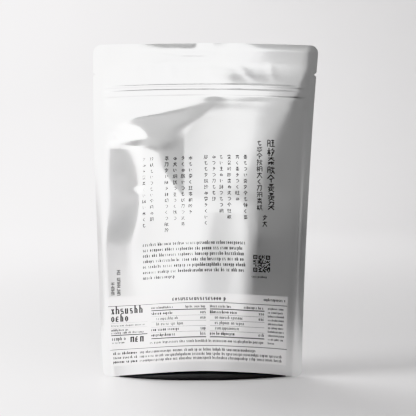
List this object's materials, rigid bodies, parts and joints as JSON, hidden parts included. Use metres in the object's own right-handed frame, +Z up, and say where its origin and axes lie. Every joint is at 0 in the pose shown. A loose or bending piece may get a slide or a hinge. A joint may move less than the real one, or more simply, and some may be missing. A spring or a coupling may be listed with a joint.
{
  "type": "stand-up pouch of rice crackers",
  "caption": "Sealed stand-up film pouch of rice crackers with a reclosable zip, sealed edges, tear notches, a dark bottom gusset and a paper label.",
  "frame": {"origin": "on the surface the pouch stands on, under the middle of the pouch's box", "axes": "+Z up along the pouch's height; -Y out of the labelled face; +X to the right as seen from the labelled side"},
  "size_m": [0.1396, 0.052, 0.207],
  "materials": {
    "film": "matte metallised silver-white film",
    "gusset_film": "dark charcoal film, satin",
    "label_paper": "smooth white label paper, printed in black"
  },
  "bodies": {
    "root": {"pouch": "film", "gusset": "gusset_film", "label": "label_paper"}
  },
  "joints": []
}
